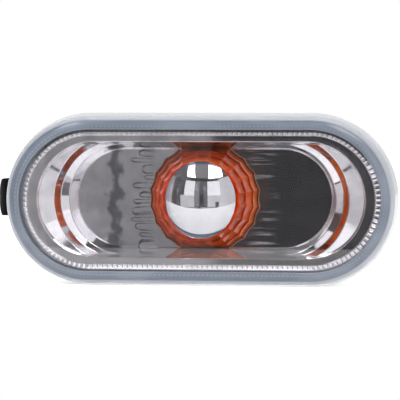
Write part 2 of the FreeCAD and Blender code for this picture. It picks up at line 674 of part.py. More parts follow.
# Housing: flange under the lens rim, tub behind the panel, collar for the bulb holder, hook and clip seat.
housing = new_body("housing")
outline = sketch_on(housing, "flange_outline", "XZ_Plane", "gasket_thickness")
stadium(outline, "straight + flange_height", "flange_height")
pad(housing, outline, "flange", "flange_thickness")
outline = sketch_on(housing, "tub_outline", "XZ_Plane", "gasket_thickness")
stadium(outline, "tub_outer_length", "tub_outer_height")
pad(housing, outline, "tub", "gasket_thickness - tub_back", back=True)
outline = sketch_on(housing, "collar_outline", "XZ_Plane", "tub_back")
circle(outline, "0", "0", "collar_width")
pad(housing, outline, "collar", "collar_depth", back=True)
outline = sketch_on(housing, "hook_outline", "XZ_Plane", "-panel_gap")
rectangle(outline, "tub_outer_length / 2 - root_depth", "tub_outer_length / 2 + hook_reach",
          "-hook_width / 2", "hook_width / 2")
pad(housing, outline, "hook", "hook_thickness", back=True)
seat_half = "(clip_width / 2 + fit_gap + rail_wall)"
outline = sketch_on(housing, "seat_outline", "XZ_Plane", "-panel_gap")
rectangle(outline, "-seat_face", "-(tub_outer_length / 2 - root_depth)", f"-{seat_half}", seat_half)
pad(housing, outline, "clip_seat", "-panel_gap - tub_back", back=True)
outline = sketch_on(housing, "rail_outline", "XZ_Plane", "-panel_gap")
rail_section(outline, "")
rail_section(outline, "-")
pad(housing, outline, "clip_rails", "-panel_gap - tub_back", back=True)
outline = sketch_on(housing, "tub_inside", "XZ_Plane", "flange_front")
stadium(outline, "tub_length", "tub_height")
pocket(housing, outline, "tub_cavity", "flange_front - cap_base")
outline = sketch_on(housing, "collar_bore_outline", "XZ_Plane", "cap_base")
circle(outline, "0", "0", "lip_bore")
pocket(housing, outline, "collar_bore", "cap_base - collar_back")
outline = sketch_on(housing, "bayonet_section", "YZ_Plane")
rectangle(outline, "-tub_back", "-lip_front", "0", "groove_bore / 2")
turned(housing, outline, "Groove", "bayonet_groove")
outline = sketch_on(housing, "notch_outline", "XZ_Plane", "lip_front")
rectangle(outline, "-(lug_width / 2 + lug_gap)", "lug_width / 2 + lug_gap",
          "lip_bore / 4", "lug_reach + lug_gap")
notch = pocket(housing, outline, "bayonet_notch", "lip_depth")
spread(housing, notch, outline, "bayonet_notches", 3)

# Amber filter: flange behind the reflector, three fluted tiers, nose for the shield and bore for the bulb.
amber_filter = new_body("amber_filter")
outline = sketch_on(amber_filter, "filter_flange_outline", "XZ_Plane", "cap_base")
circle(outline, "0", "0", "cap_flange_width")
pad(amber_filter, outline, "filter_flange", "cap_flange")
for tier in range(3):
    outline = sketch_on(amber_filter, f"tier_{tier}_outline", "XZ_Plane",
                        f"floor_back + {tier} * tier_height")
    flutes(outline, f"cap_width - {2 * tier} * (tier_lean + cap_ledge)")
    pad(amber_filter, outline, f"tier_{tier}", "tier_height", lean="-cap_draft")
outline = sketch_on(amber_filter, "flat_outline", "XZ_Plane", "cap_shoulder")
rectangle(outline, "-cap_width", "cap_width", "cap_flat / 2", "cap_width")
rectangle(outline, "-cap_width", "cap_width", "-cap_width", "-cap_flat / 2")
pocket(amber_filter, outline, "filter_flats", "cap_shoulder - floor_back")
outline = sketch_on(amber_filter, "nose_outline", "XZ_Plane", "cap_shoulder")
circle(outline, "0", "0", "nose_width")
pad(amber_filter, outline, "filter_nose", "nose_rise")
outline = sketch_on(amber_filter, "filter_bore_section", "YZ_Plane")
polygon(outline, [("-cap_base", "0"), ("-cap_base", "cap_bore / 2"),
                  ("-(cap_shoulder - cap_roof)", "cap_bore_end / 2"), ("-(cap_shoulder - cap_roof)", "0")])
turned(amber_filter, outline, "Groove", "filter_bore")

# Reflector: land and skirt, thin trough with stepped ends, hole for the amber filter.
land = racetrack("reflector_land", land_section, "straight")
tooth_grooves(land)
solid = combine("MultiFuse", "reflector_solid", land, reflector_form("outside", "reflector_wall"))
shell = combine("Cut", "reflector_shell", solid, reflector_form("inside", "0"))
plug = new_body("filter_hole")
outline = sketch_on(plug, "filter_hole_outline", "XZ_Plane", "floor_back - cut_margin")
flutes(outline, "cap_width + 2 * fit_gap")
pad(plug, outline, "filter_hole_plug", "reflector_wall + 2 * cut_margin")
outline = sketch_on(plug, "filter_hole_flats", "XZ_Plane", "floor_level + cut_margin")
rectangle(outline, "-cap_width", "cap_width", "cap_flat / 2 + fit_gap", "cap_width")
rectangle(outline, "-cap_width", "cap_width", "-cap_width", "-(cap_flat / 2 + fit_gap)")
pocket(plug, outline, "filter_hole_trim", "reflector_wall + 2 * cut_margin")
reflector = combine("Cut", "reflector", shell, plug)

# Bulb shield: a thin cap of an ellipsoid that stands on the shoulder of the filter.
domes = []
pole = "(shield_rise / (1 - sin(shield_edge)))"
for name, thinner in (("outside", "0"), ("inside", "shield_wall")):
    dome = doc.addObject("Part::Ellipsoid", f"shield_{name}")
    dome.Placement.Rotation = FreeCAD.Rotation(FreeCAD.Vector(1, 0, 0), 90)
    bind(dome, Radius1=f"{pole} - {thinner}", Radius2=f"shield_width / 2 / cos(shield_edge) - {thinner}",
         Radius3=f"shield_height / 2 / cos(shield_edge) - {thinner}", Angle1="shield_edge",
         Placement__Base__y=f"{pole} * sin(shield_edge) - cap_shoulder")
    domes.append(dome)
bulb_shield = combine("Cut", "bulb_shield", *domes)

# Spring clip that slides into the rails of the housing.
clip_strip = new_body("clip_strip")
outline = sketch_on(clip_strip, "clip_outline", "XY_Plane")
clip_section(outline)
pad(clip_strip, outline, "clip_leaf", "clip_width", both=True)
clip_sweep = drum("clip_sweep", "clip_curve - clip_bow", "0", "cut_margin", "cut_margin - 2 * clip_back",
                  "clip_curve")
spring_clip = combine("Common", "spring_clip", clip_strip, clip_sweep)

# Bulb holder: spigot with bayonet lugs, flange, stem with finger grip, bulb slot and two-pin connector.
bulb_holder = new_body("bulb_holder")
outline = sketch_on(bulb_holder, "holder_section", "YZ_Plane")
spigot_front = "seal_back + spigot_length"
polygon(outline, [(f"-({spigot_front})", "0"), (f"-({spigot_front})", "spigot_width / 2"),
                  ("-seal_back", "spigot_width / 2"), ("-seal_back", "grip_width / 2"),
                  ("-grip_back", "grip_width / 2"), ("-grip_back", "stem_width / 2"),
                  ("-stem_back", "stem_width / 2"), ("-stem_back", "0")])
turned(bulb_holder, outline, "Revolution", "holder_turned")
outline = sketch_on(bulb_holder, "lug_outline", "XZ_Plane", "lip_front")
rectangle(outline, "-lug_width / 2", "lug_width / 2", "-lug_reach", "-spigot_width / 3")
lug = pad(bulb_holder, outline, "bayonet_lug", "lug_depth")
spread(bulb_holder, lug, outline, "bayonet_lugs", 3)
outline = sketch_on(bulb_holder, "wing_outline", "XZ_Plane", "grip_back")
rectangle(outline, "-wing_span / 2", "wing_span / 2", "-wing_thickness / 2", "wing_thickness / 2")
pad(bulb_holder, outline, "finger_grip", "wing_depth", back=True)
outline = sketch_on(bulb_holder, "shroud_outline", "XZ_Plane", "stem_back")
rectangle(outline, "-(plug_width / 2 + plug_wall)", "plug_width / 2 + plug_wall",
          "-(plug_height / 2 + plug_wall)", "plug_height / 2 + plug_wall")
pad(bulb_holder, outline, "connector_shroud", "stem_back - plug_end", back=True)
outline = sketch_on(bulb_holder, "latch_outline", "XZ_Plane", "plug_end + plug_depth / 2")
rectangle(outline, "-latch_width / 2", "latch_width / 2",
          "plug_height / 2 + plug_wall / 2", "plug_height / 2 + plug_wall + latch_rise")
pad(bulb_holder, outline, "connector_latch", "plug_depth / 4", back=True)
outline = sketch_on(bulb_holder, "plug_outline", "XZ_Plane", "plug_front")
rectangle(outline, "-plug_width / 2", "plug_width / 2", "-plug_height / 2", "plug_height / 2")
pocket(bulb_holder, outline, "connector_cavity", "plug_depth")
outline = sketch_on(bulb_holder, "recess_outline", "XZ_Plane", spigot_front)
circle(outline, "0", "0", "bulb_width + 2 * bulb_gap")
pocket(bulb_holder, outline, "bulb_recess", f"{spigot_front} - pinch_level")
outline = sketch_on(bulb_holder, "slot_outline", "XZ_Plane", "pinch_level")
rectangle(outline, "-(wedge_thickness / 2 + fit_gap)", "wedge_thickness / 2 + fit_gap",
          "-(wedge_width / 2 + fit_gap)", "wedge_width / 2 + fit_gap")
pocket(bulb_holder, outline, "wedge_slot", "pinch_level - slot_back")
outline = sketch_on(bulb_holder, "channel_outline", "XZ_Plane", "pinch_level")
rectangle(outline, "-contact_back", "contact_back", "-contact_width / 2", "contact_width / 2")
pocket(bulb_holder, outline, "contact_channel", "pinch_level - slot_back")
outline = sketch_on(bulb_holder, "blade_outline", "XZ_Plane", "slot_back")
rectangle(outline, "contact_face", "contact_back", "-contact_width / 2", "contact_width / 2")
rectangle(outline, "-contact_back", "-contact_face", "-contact_width / 2", "contact_width / 2")
pocket(bulb_holder, outline, "blade_slots", "plug_back")

holder_seal = new_body("holder_seal")
outline = sketch_on(holder_seal, "seal_outline", "XZ_Plane", "seal_back")
circle(outline, "0", "0", "seal_width")
circle(outline, "0", "0", "spigot_width + 2 * fit_gap")
pad(holder_seal, outline, "seal_ring", "seal_thickness")

contact_right = contact_strip("contact_right", "")
contact_left = contact_strip("contact_left", "-")

# Wedge bulb: hollow glass with a flat wedge, two leads and a filament.
bulb_glass = new_body("bulb_glass")
outline = sketch_on(bulb_glass, "glass_section", "YZ_Plane")
bulb_section("0", "pinch_level")(outline)
turned(bulb_glass, outline, "Revolution", "glass_outside")
outline = sketch_on(bulb_glass, "wedge_outline", "XZ_Plane", "pinch_level")
rectangle(outline, "-wedge_thickness / 2", "wedge_thickness / 2", "-wedge_width / 2", "wedge_width / 2")
pad(bulb_glass, outline, "glass_wedge", "pinch_level - bulb_end", back=True)
outline = sketch_on(bulb_glass, "hollow_section", "YZ_Plane")
bulb_section("bulb_wall", "pinch_level + bulb_wall")(outline)
turned(bulb_glass, outline, "Groove", "glass_inside")
outline = sketch_on(bulb_glass, "lead_outline", "XZ_Plane", "pinch_level + bulb_wall")
circle(outline, "0", "lead_offset", "2 * lead_radius")
circle(outline, "0", "-lead_offset", "2 * lead_radius")
pocket(bulb_glass, outline, "lead_holes", "pinch_level + bulb_wall - bulb_end")

bulb_lead_right = lead_wire("bulb_lead_right", "")
bulb_lead_left = lead_wire("bulb_lead_left", "-")
bulb_filament = doc.addObject("Part::Cylinder", "bulb_filament")
bind(bulb_filament, Radius="filament_radius", Height="2 * (lead_offset - lead_radius)",
     Placement__Base__y="-(bulb_tip - filament_drop)", Placement__Base__z="-(lead_offset - lead_radius)")

PARTS = [lens, reflector, amber_filter, bulb_shield, housing, gasket, spring_clip, bulb_holder, holder_seal,
         contact_left, contact_right, bulb_glass, bulb_filament, bulb_lead_left, bulb_lead_right]

doc.recompute()
for item in doc.Objects:
    if "Invalid" in item.State or "Error" in item.State:
        raise RuntimeError(f"{item.Label} did not build: {item.State}")
os.makedirs("parts", exist_ok=True)
for item in PARTS:
    if item.Shape.isNull() or not item.Shape.isValid() or not item.Shape.Solids:
        raise RuntimeError(f"{item.Label} has no sound shape")
    item.Shape.exportStep(f"parts/{item.Label}.step")
    box = item.Shape.optimalBoundingBox(False, False)
    print(f"{item.Label}: {len(item.Shape.Solids)} solid, {item.Shape.Volume:.1f} mm3,"
          f" {box.XLength:.2f} x {box.YLength:.2f} x {box.ZLength:.2f} mm")
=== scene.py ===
import logging
import math
from dataclasses import dataclass
from enum import Enum
from typing import Union

import bmesh
import bpy
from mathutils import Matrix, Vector


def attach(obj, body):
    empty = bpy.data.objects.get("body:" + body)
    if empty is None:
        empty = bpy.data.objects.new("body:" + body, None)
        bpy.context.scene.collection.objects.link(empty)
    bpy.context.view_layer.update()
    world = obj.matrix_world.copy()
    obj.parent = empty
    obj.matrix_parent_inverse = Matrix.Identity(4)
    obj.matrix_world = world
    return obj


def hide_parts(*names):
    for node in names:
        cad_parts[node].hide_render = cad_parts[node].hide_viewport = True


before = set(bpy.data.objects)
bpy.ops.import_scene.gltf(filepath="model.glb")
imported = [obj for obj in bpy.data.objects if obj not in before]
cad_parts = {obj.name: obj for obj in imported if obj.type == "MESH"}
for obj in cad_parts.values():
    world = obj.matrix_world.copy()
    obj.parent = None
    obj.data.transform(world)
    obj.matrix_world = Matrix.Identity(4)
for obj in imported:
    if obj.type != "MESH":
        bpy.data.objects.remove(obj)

# Looks of a side indicator lamp. One unit is a metre; +X runs along the lamp, +Z is up, the lens faces -Y.

LOG = logging.getLogger("indicator_lamp")
MM = 0.001
# Half of the outline's straight run, and the radius at which the way round its ends is measured.
HALF_RUN_MM = 22.4
END_ARC_MM = 15.0
ACRYLIC_IOR = 1.49
WHITE = (1, 1, 1, 1)
BLACK = (0, 0, 0, 1)

Socket = bpy.types.NodeSocket
Term = Union[Socket, float, tuple]


class Slot(Enum):
    """Material slots of the record."""

    LENS = "clear_lens"
    REFLECTOR = "metallised_reflector"
    AMBER = "amber_filter"
    SHIELD = "bright_shield"
    HOUSING = "grey_housing"
    GASKET = "foam_gasket"
    CLIP = "black_clip"
    HOLDER = "black_holder"
    SEAL = "rubber_seal"
    CONTACT = "tinned_contact"
    GLASS = "bulb_glass"
    WIRE = "filament_wire"


class Step(Enum):
    """Nodes by what they do: type, inputs in the order that terms fill them, output, and settings."""

    SPOT = ("ShaderNodeTexCoord", (), "Object", {})
    NORMAL = ("ShaderNodeNewGeometry", (), "Normal", {})
    RAYS = ("ShaderNodeLightPath", (), 0, {})
    STRETCH = ("ShaderNodeMapping", ("Vector", "Scale"), 0, {})
    SCALE = ("ShaderNodeVectorMath", (0, "Scale"), 0, {"operation": "SCALE"})
    SPLIT = ("ShaderNodeSeparateXYZ", (0,), 0, {})
    NOISE = ("ShaderNodeTexNoise", ("Vector", "Scale", "Detail"), "Fac", {})
    CHANCE = ("ShaderNodeTexWhiteNoise", ("W",), "Value", {"noise_dimensions": "1D"})
    RAMP = ("ShaderNodeMapRange", ("Value", "From Min", "From Max", "To Min", "To Max"), 0,
            {"interpolation_type": "SMOOTHSTEP"})
    BLEND = ("ShaderNodeMix", (0, 6, 7), 2, {"data_type": "RGBA"})
    BUMP = ("ShaderNodeBump", ("Height", "Distance", "Normal"), "Normal", {})
    ROUND = ("ShaderNodeBevel", ("Radius",), 0, {"samples": 6})
    PLUS = ("ShaderNodeMath", (0, 1), 0, {"operation": "ADD"})
    MINUS = ("ShaderNodeMath", (0, 1), 0, {"operation": "SUBTRACT"})
    TIMES = ("ShaderNodeMath", (0, 1), 0, {"operation": "MULTIPLY"})
    OVER = ("ShaderNodeMath", (0, 1), 0, {"operation": "DIVIDE"})
    TIMES_PLUS = ("ShaderNodeMath", (0, 1, 2), 0, {"operation": "MULTIPLY_ADD"})
    MOST = ("ShaderNodeMath", (0, 1), 0, {"operation": "MAXIMUM"})
    LEAST = ("ShaderNodeMath", (0, 1), 0, {"operation": "MINIMUM"})
    ROOT = ("ShaderNodeMath", (0,), 0, {"operation": "SQRT"})
    SIZE = ("ShaderNodeMath", (0,), 0, {"operation": "ABSOLUTE"})
    WHOLE = ("ShaderNodeMath", (0,), 0, {"operation": "FLOOR"})
    REST = ("ShaderNodeMath", (0,), 0, {"operation": "FRACT"})
    SINE = ("ShaderNodeMath", (0,), 0, {"operation": "SINE"})
    ANGLE = ("ShaderNodeMath", (0, 1), 0, {"operation": "ARCTAN2"})


def linear(code: str) -> tuple[float, float, float, float]:
    """Turn an sRGB hex colour into linear light.

    Args:
        code: six hex digits, with or without a leading hash.

    Returns:
        Red, green, blue and an alpha of one.
    """
    digits = code.lstrip("#")
    parts = [int(digits[i:i + 2], 16) / 255 for i in (0, 2, 4)]
    light = [c / 12.92 if c <= 0.04045 else ((c + 0.055) / 1.055) ** 2.4 for c in parts]
    return (light[0], light[1], light[2], 1.0)


def toward(azimuth: float, elevation: float) -> Vector:
    """Direction away from the lamp.

    Args:
        azimuth: degrees to the right of the lens's front.
        elevation: degrees above the level.

    Returns:
        A vector of length one.
    """
    turn, rise = math.radians(azimuth), math.radians(elevation)
    return Vector((math.sin(turn) * math.cos(rise), -math.cos(turn) * math.cos(rise), math.sin(rise)))


class Graph:
    """Nodes that feed the one shader of a material or of the world."""

    def __init__(self, owner: bpy.types.Material | bpy.types.World, shader: str) -> None:
        """Start the nodes.

        Args:
            owner: the material or world.
            shader: name of the shader node that it starts with.
        """
        owner.use_nodes = True
        self.owner = owner
        self.tree = owner.node_tree
        self.shader = self.tree.nodes[shader]

    @classmethod
    def surface(cls, name: str) -> "Graph":
        """Start a material.

        Args:
            name: what the real material is and how it was made.

        Returns:
            Its nodes.
        """
        return cls(bpy.data.materials.new(name), "Principled BSDF")

    def add(self, step: Step, *terms: Term) -> Socket:
        """Add a node with its settings and links.

        Args:
            step: what the node does.
            terms: sockets or fixed values for its inputs.

        Returns:
            The output that the step names.
        """
        kind, inputs, output, settings = step.value
        node = self.tree.nodes.new(kind)
        for key, choice in settings.items():
            setattr(node, key, choice)
        for key, term in zip(inputs, terms):
            self.feed(node.inputs[key], term)
        return node.outputs[output]

    def feed(self, socket: Socket, term: Term) -> None:
        """Join an input to a socket, or set it.

        Args:
            socket: the input.
            term: an output socket or a fixed value.
        """
        if isinstance(term, Socket):
            self.tree.links.new(term, socket)
        else:
            socket.default_value = term

    def set(self, **values: Term) -> None:
        """Set or join inputs of the shader; an underscore stands for a blank.

        Args:
            values: input name to a socket or a fixed value.
        """
        for key, term in values.items():
            self.feed(self.shader.inputs[key.replace("_", " ")], term)

    def patches(self, size_mm: float, detail: float = 2.0, stretch: tuple | None = None) -> Socket:
        """An uneven pattern with patches of a real size.

        Args:
            size_mm: width of a patch.
            detail: finer layers.
            stretch: scale of the pattern along each axis, below one where patches are long.

        Returns:
            A value about one half.
        """
        spot = self.add(Step.SPOT)
        if stretch:
            spot = self.add(Step.STRETCH, spot, stretch)
        return self.add(Step.NOISE, spot, 1 / (size_mm * MM), detail)

    def place_mm(self) -> tuple[Socket, Socket, Socket]:
        """Coordinates of the surface in millimetres.

        Returns:
            Sockets for x, y and z.
        """
        x, y, z = self.add(Step.SPLIT, self.add(Step.SCALE, self.add(Step.SPOT), 1 / MM)).node.outputs
        return x, y, z

    def length(self, first: Socket, second: Socket) -> Socket:
        """Distance from two sides at a right angle.

        Args:
            first: one side.
            second: the other side.

        Returns:
            The distance.
        """
        square = self.add(Step.TIMES, first, first)
        return self.add(Step.ROOT, self.add(Step.PLUS, square, self.add(Step.TIMES, second, second)))

    def oblong(self) -> tuple[Socket, Socket]:
        """Place on the lamp's long outline with round ends, in millimetres.

        Returns:
            Sockets for the distance from the middle line and for the way along the outline.
        """
        x, _, z = self.place_mm()
        along, rise = self.add(Step.SIZE, x), self.add(Step.SIZE, z)
        past = self.add(Step.MOST, self.add(Step.MINUS, along, HALF_RUN_MM), 0.0)
        arc = self.add(Step.TIMES, self.add(Step.ANGLE, past, rise), END_ARC_MM)
        way = self.add(Step.PLUS, self.add(Step.LEAST, along, HALF_RUN_MM), arc)
        return self.length(past, rise), way

    def window(self, source: Socket, span: tuple[float, float], soft: float) -> Socket:
        """One between two numbers and nought outside.

        Args:
            source: the socket to read.
            span: lower and upper end.
            soft: width of the blend at both ends.

        Returns:
            The mask.
        """
        low, high = span
        rise = self.add(Step.RAMP, source, low - soft / 2, low + soft / 2, 0, 1)
        return self.add(Step.TIMES, rise, self.add(Step.RAMP, source, high - soft / 2, high + soft / 2, 1, 0))

    def relief(self, height: Socket, depth_mm: float, edge_mm: float = 0.0) -> None:
        """Raise the surface and round its edges.

        Args:
            height: height from nought to one.
            depth_mm: real height of one.
            edge_mm: radius of the moulded edges, nought for sharp ones.
        """
        edge = (self.add(Step.ROUND, edge_mm * MM),) if edge_mm else ()
        self.set(Normal=self.add(Step.BUMP, height, depth_mm * MM, *edge))

    def seen(self) -> Socket:
        """One for what the camera, mirrors and clear pieces look at, nought for light on the rest.

        Returns:
            The mask.
        """
        rays = self.add(Step.RAYS).node.outputs
        direct = self.add(Step.MOST, rays["Is Camera Ray"], rays["Is Glossy Ray"])
        return self.add(Step.MOST, direct, rays["Is Transmission Ray"])


@dataclass(frozen=True)
class Moulded:
    """Injection-moulded opaque plastic, rubber or foam, in two close tones under a fine even grain."""

    name: str
    dark: str
    light: str
    grain_mm: float
    rough: tuple[float, float]
    relief_mm: float
    shine: float = 0.5
    cloud_mm: float = 6.0

    def build(self) -> bpy.types.Material:
        """Make the material.

        Returns:
            The material.
        """
        g = Graph.surface(self.name)
        cloud = g.add(Step.RAMP, g.patches(self.cloud_mm, 3.0), 0.3, 0.7, 0, 1)
        # A mould's eroded grain is finer than a pixel here, so it is drawn as coarse as it needs to show.
        grain = g.patches(self.grain_mm)
        g.set(Base_Color=g.add(Step.BLEND, cloud, linear(self.dark), linear(self.light)),
              Roughness=g.add(Step.RAMP, grain, 0.3, 0.7, *self.rough), Specular_IOR_Level=self.shine)
        g.relief(grain, self.relief_mm)
        return g.owner


@dataclass(frozen=True)
class Metallised:
    """Plastic with a vacuum-metallised mirror coat, slightly clouded and slightly wavy."""

    name: str
    bright: str
    dull: str
    rough: tuple[float, float]
    wave_mm: float
    relief_mm: float
    cloud_mm: float = 5.0

    def build(self) -> bpy.types.Material:
        """Make the material.

        Returns:
            The material.
        """
        g = Graph.surface(self.name)
        cloud = g.patches(self.cloud_mm, 3.0)
        coat = g.add(Step.RAMP, cloud, 0.35, 0.7, 0, 1)
        g.set(Metallic=1.0, Base_Color=g.add(Step.BLEND, coat, linear(self.bright), linear(self.dull)),
              Roughness=g.add(Step.RAMP, cloud, 0.3, 0.7, *self.rough))
        g.relief(g.patches(self.wave_mm, 1.0), self.relief_mm)
        return g.owner


@dataclass(frozen=True)
class MirrorTrough:
    """Vacuum-metallised reflector with rounded edges, flow marks, faint streaks and a painted dark reflection
    in a strip along the top.

    The spans are in millimetres: floor_mm and bead_mm in depth, weld_mm, finger_mm, streak_mm and
    ripple_mm along the lamp, painted_strip_mm out from the middle line, and top_mm in height.
    """

    name: str
    bright: str
    dull: str
    flow: str
    rough: tuple[float, float]
    edge_mm: float
    cloud_mm: float = 5.0
    floor_mm: tuple[float, float] = (2.4, 4.0)
    weld_mm: tuple[float, float] = (-19.6, -17.6)
    weld_patch_mm: float = 3.0
    wander_mm: float = 7.0
    finger_mm: tuple[float, float] = (-16.0, -10.5)
    tip_mm: float = -15.4
    scatter_mm: float = 3.2
    row_mm: float = 1.75
    sway_mm: float = 3.0
    sway_patch_mm: float = 2.6
    curl_mm: float = 9.0
    ink_patch_mm: float = 1.6
    streak_mm: tuple[float, float] = (9.5, 14.5)
    streak_patch_mm: float = 0.9
    ripple_mm: tuple[float, float] = (-16.0, 19.0)
    ripple_patch_mm: float = 1.4
    ripple_relief_mm: float = 0.03
    painted_strip_mm: tuple[float, float] = (13.65, 14.5)
    bead_mm: tuple[float, float] = (-6.0, -5.8)
    top_mm: tuple[float, float] = (6.0, 10.0)

    def fingers(self, g: Graph, x: Socket, z: Socket) -> Socket:
        """Narrow flow lines that open towards the filter hole like the letter U on its side.

        Args:
            g: the material's nodes.
            x: place along the lamp.
            z: height on the lamp.

        Returns:
            A mask of the lines.
        """
        drift = g.add(Step.MINUS, g.patches(self.sway_patch_mm, 1.0, (0.12, 1, 1)), 0.5)
        sway = g.add(Step.TIMES, drift, self.sway_mm)
        row = g.add(Step.OVER, g.add(Step.PLUS, z, sway), self.row_mm)
        chance = g.add(Step.CHANCE, g.add(Step.WHOLE, row))
        past = g.add(Step.MINUS, x, g.add(Step.TIMES_PLUS, chance, self.scatter_mm, self.tip_mm))
        opening = g.add(Step.ROOT, g.add(Step.OVER, g.add(Step.MOST, past, 0.0), self.curl_mm))
        bow = g.add(Step.LEAST, opening, 0.3)
        aside = g.add(Step.SIZE, g.add(Step.MINUS, g.add(Step.REST, row), 0.5))
        gap = g.add(Step.SIZE, g.add(Step.MINUS, aside, bow))
        ink = g.add(Step.RAMP, g.patches(self.ink_patch_mm, 1.0), 0.35, 0.6, 0.35, 0.9)
        start = g.add(Step.RAMP, past, -0.1, 0.1, 0, 1)
        fade = g.add(Step.TIMES, start, g.add(Step.RAMP, past, 0.8, 3.2, 1, 0.35))
        return g.add(Step.TIMES, g.add(Step.TIMES, g.add(Step.RAMP, gap, 0.05, 0.13, 1, 0), ink), fade)

    def weld(self, g: Graph, x: Socket) -> Socket:
        """Dark wandering band where two flows of plastic met.

        Args:
            g: the material's nodes.
            x: place along the lamp.

        Returns:
            A mask of the band.
        """
        level = g.add(Step.MINUS, x, self.wander_mm / 2)
        front = g.add(Step.TIMES_PLUS, g.patches(self.weld_patch_mm, 3.0), self.wander_mm, level)
        return g.add(Step.TIMES, g.window(front, self.weld_mm, soft=1.4), 0.7)

    def painted_dark_strip(self, g: Graph, y: Socket, z: Socket) -> Socket:
        """Painted dark strip on the bead beside the teeth along the top, standing in for the dark lens rim
        that the coat reflects there.

        Args:
            g: the material's nodes.
            y: depth in the lamp.
            z: height on the lamp.

        Returns:
            A mask of the strip.
        """
        out, _ = g.oblong()
        front = g.add(Step.RAMP, y, *self.bead_mm, 1, 0)
        upper = g.add(Step.TIMES, front, g.add(Step.RAMP, z, *self.top_mm, 0, 0.9))
        return g.add(Step.TIMES, g.window(out, self.painted_strip_mm, soft=0.1), upper)

    def build(self) -> bpy.types.Material:
        """Make the material.

        Returns:
            The material.
        """
        g = Graph.surface(self.name)
        x, y, z = g.place_mm()
        cloud = g.patches(self.cloud_mm, 3.0)
        floor = g.window(y, self.floor_mm, soft=0.1)
        line = g.add(Step.TIMES, self.fingers(g, x, z), g.window(x, self.finger_mm, soft=1.0))
        flow = g.add(Step.TIMES, g.add(Step.MOST, self.weld(g, x), line), floor)
        # The flow colour also paints a dark strip along the top of the bead: a painted reflection of the dark
        # lens rim.
        marks = g.add(Step.MOST, flow, self.painted_dark_strip(g, y, z))
        dull = g.add(Step.RAMP, cloud, 0.35, 0.7, 0, 1)
        coat = g.add(Step.BLEND, dull, linear(self.bright), linear(self.dull))
        streaks = g.add(Step.RAMP, g.patches(self.streak_patch_mm, 2.0, (0.08, 1, 1)), 0.52, 0.64, 0, 0.17)
        right = g.add(Step.TIMES, floor, g.window(x, self.streak_mm, soft=4.0))
        haze = g.add(Step.TIMES, streaks, right)
        g.set(Metallic=1.0, Base_Color=g.add(Step.BLEND, marks, coat, linear(self.flow)),
              Roughness=g.add(Step.PLUS, g.add(Step.RAMP, cloud, 0.3, 0.7, *self.rough), haze))
        near = g.add(Step.TIMES, floor, g.window(x, self.ripple_mm, soft=4.0))
        ripple = g.add(Step.TIMES, g.patches(self.ripple_patch_mm, 2.0, (0.1, 1, 1)), near)
        g.relief(ripple, self.ripple_relief_mm, self.edge_mm)
        return g.owner


@dataclass(frozen=True)
class LensClear:
    """Clear moulded acrylic: polished front, satin skirt with a row of small marks, and a pale edge painted
    as a reflection of the white surroundings.

    The spans are in millimetres out from the middle line.
    """

    name: str
    tint: str
    skirt: str
    marks: str
    edge: str
    skirt_mm: tuple[float, float] = (14.2, 14.5)
    edge_mm: tuple[float, float] = (16.0, 16.4)
    row_mm: tuple[float, float] = (14.85, 15.05)
    pitch_mm: float = 0.85
    skirt_clear: float = 0.25
    edge_clear: float = 0.35
    skirt_rough: float = 0.12
    cloud_mm: float = 7.0
    wave_mm: float = 9.0
    relief_mm: float = 0.004

    def build(self) -> bpy.types.Material:
        """Make the material.

        Returns:
            The material.
        """
        g = Graph.surface(self.name)
        out, along = g.oblong()
        skirt = g.add(Step.RAMP, out, *self.skirt_mm, 0, 1)
        edge = g.add(Step.RAMP, out, *self.edge_mm, 0, 1)
        beat = g.add(Step.SINE, g.add(Step.TIMES, along, 2 * math.pi / self.pitch_mm))
        dots = g.add(Step.RAMP, beat, 0.1, 0.6, 0, 0.45)
        row = g.add(Step.TIMES, g.window(out, self.row_mm, soft=0.15), dots)
        cloud = g.add(Step.RAMP, g.patches(self.cloud_mm, 2.0, (0.5, 1, 1)), 0.4, 0.7, 0, 0.3)
        satin = g.add(Step.BLEND, g.add(Step.MOST, row, cloud), linear(self.skirt), linear(self.marks))
        body = g.add(Step.BLEND, skirt, linear(self.tint), satin)
        clear = g.add(Step.RAMP, skirt, 0, 1, 1.0, self.skirt_clear)
        # The pale edge colour is a painted reflection of the white surroundings.
        g.set(Base_Color=g.add(Step.BLEND, edge, body, linear(self.edge)), IOR=ACRYLIC_IOR,
              Transmission_Weight=g.add(Step.TIMES_PLUS, edge, self.edge_clear, clear),
              Roughness=g.add(Step.RAMP, skirt, 0, 1, 0.0, self.skirt_rough))
        g.relief(g.patches(self.wave_mm, 1.0), self.relief_mm)
        return g.owner


@dataclass(frozen=True)
class Clear:
    """Clear blown glass with a faint haze and slow waves."""

    name: str
    tint: str
    index: float
    rough: tuple[float, float]
    wave_mm: float
    relief_mm: float
    haze_mm: float = 3.0

    def build(self) -> bpy.types.Material:
        """Make the material.

        Returns:
            The material.
        """
        g = Graph.surface(self.name)
        g.set(Base_Color=linear(self.tint), IOR=self.index, Transmission_Weight=1.0,
              Roughness=g.add(Step.RAMP, g.patches(self.haze_mm), 0.35, 0.65, *self.rough))
        g.relief(g.patches(self.wave_mm, 1.0), self.relief_mm)
        return g.owner


